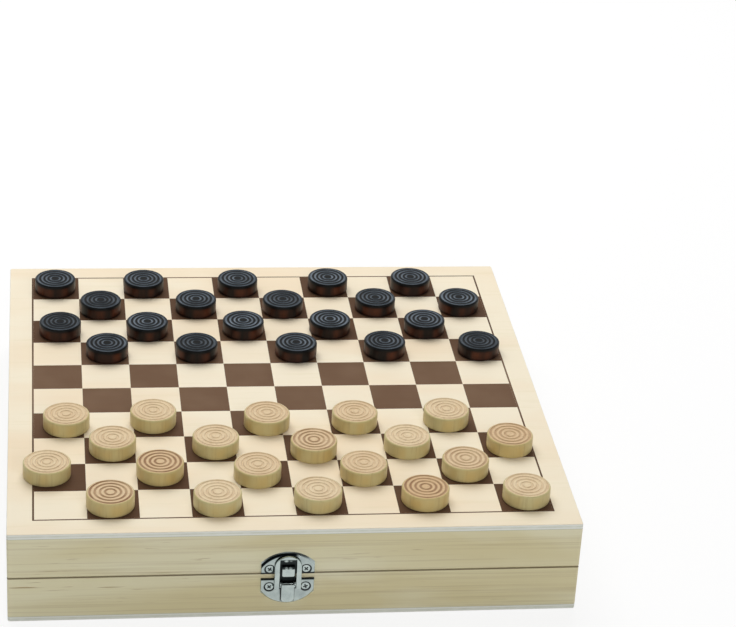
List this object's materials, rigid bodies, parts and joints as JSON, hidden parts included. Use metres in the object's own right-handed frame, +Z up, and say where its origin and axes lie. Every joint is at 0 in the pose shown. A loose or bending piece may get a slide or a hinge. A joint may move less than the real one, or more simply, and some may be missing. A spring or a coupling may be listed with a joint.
{
  "type": "games compendium box",
  "caption": "Shallow square hinged wooden games box with a draughts board on the lid, a chess board underneath, a toggle latch, draughtsmen and stowed chessmen.",
  "frame": {"origin": "middle of the underside, on the chess board's face", "axes": "+Z up out of the draughts board, +X to the right along the front, -Y towards the latch"},
  "size_m": [0.298, 0.3056, 0.0614],
  "materials": {
    "pine": "planed pine under a thin satin varnish",
    "plywood": "pale lime plywood under a thin satin varnish",
    "board_print": "matt brown printed colour on the plywood",
    "nickel": "bright nickel plate",
    "light_wood": "turned beech, satin varnish",
    "dark_wood": "turned beech, dark stain and gloss lacquer",
    "light_boxwood": "turned pale wood, gloss varnish"
  },
  "bodies": {
    "base": {"base_rail_front": "pine", "base_rail_right": "pine", "base_rail_back": "pine", "base_rail_left": "pine", "base_panel": "plywood", "chess_print": "board_print", "hinge_left_base_leaf": "nickel", "hinge_right_base_leaf": "nickel", "hinge_left_pin": "nickel", "hinge_right_pin": "nickel", "hinge_screws_base": "nickel", "latch_base_plate": "nickel", "latch_lever_pin": "nickel", "latch_screws_base": "nickel"},
    "lid": {"lid_rail_front": "pine", "lid_rail_right": "pine", "lid_rail_back": "pine", "lid_rail_left": "pine", "lid_panel": "plywood", "draughts_print": "board_print", "hinge_left_lid_leaf": "nickel", "hinge_right_lid_leaf": "nickel", "hinge_screws_lid": "nickel", "latch_hook_plate": "nickel", "latch_screws_lid": "nickel"},
    "latch_lever": {"latch_lever": "nickel", "latch_loop_pin": "nickel"},
    "latch_loop": {"latch_loop": "nickel"},
    "light_draughtsmen": {"light_men": "light_wood"},
    "dark_draughtsmen": {"dark_men": "dark_wood"},
    "light_chessmen": {"light_king": "light_boxwood", "light_queen": "light_boxwood", "light_bishops": "light_boxwood", "light_knights": "light_boxwood", "light_rooks": "light_boxwood", "light_pawns": "light_boxwood"},
    "dark_chessmen": {"dark_king": "dark_wood", "dark_queen": "dark_wood", "dark_bishops": "dark_wood", "dark_knights": "dark_wood", "dark_rooks": "dark_wood", "dark_pawns": "dark_wood"}
  },
  "joints": [
    {"name": "lid_hinge", "type": "hinge", "parent": "base", "child": "lid", "pos_m": [0, 0.1509, 0.0265], "axis": [-1, 0, 0], "range_deg": [0, 180]},
    {"name": "latch_lever_throw", "type": "hinge", "parent": "base", "child": "latch_lever", "pos_m": [-0.005, -0.15145, 0.0214], "axis": [-1, 0, 0], "range_deg": [0, 130]},
    {"name": "latch_loop_swing", "type": "hinge", "parent": "latch_lever", "child": "latch_loop", "pos_m": [-0.005, -0.15103, 0.01944], "axis": [-1, 0, 0], "range_deg": [-156, 0]},
    {"name": "light_men_lift", "type": "slide", "parent": "lid", "child": "light_draughtsmen", "axis": [0, 0, 1], "range_m": [0, 0.06]},
    {"name": "dark_men_lift", "type": "slide", "parent": "lid", "child": "dark_draughtsmen", "axis": [0, 0, 1], "range_m": [0, 0.06]},
    {"name": "light_chessmen_lift", "type": "slide", "parent": "base", "child": "light_chessmen", "axis": [0, 0, 1], "range_m": [0, 0.023]},
    {"name": "dark_chessmen_lift", "type": "slide", "parent": "base", "child": "dark_chessmen", "axis": [0, 0, 1], "range_m": [0, 0.023]}
  ],
  "couplings": [
    {"joint": "latch_loop_swing", "follows": "latch_lever_throw", "ratio": -1.2}
  ]
}
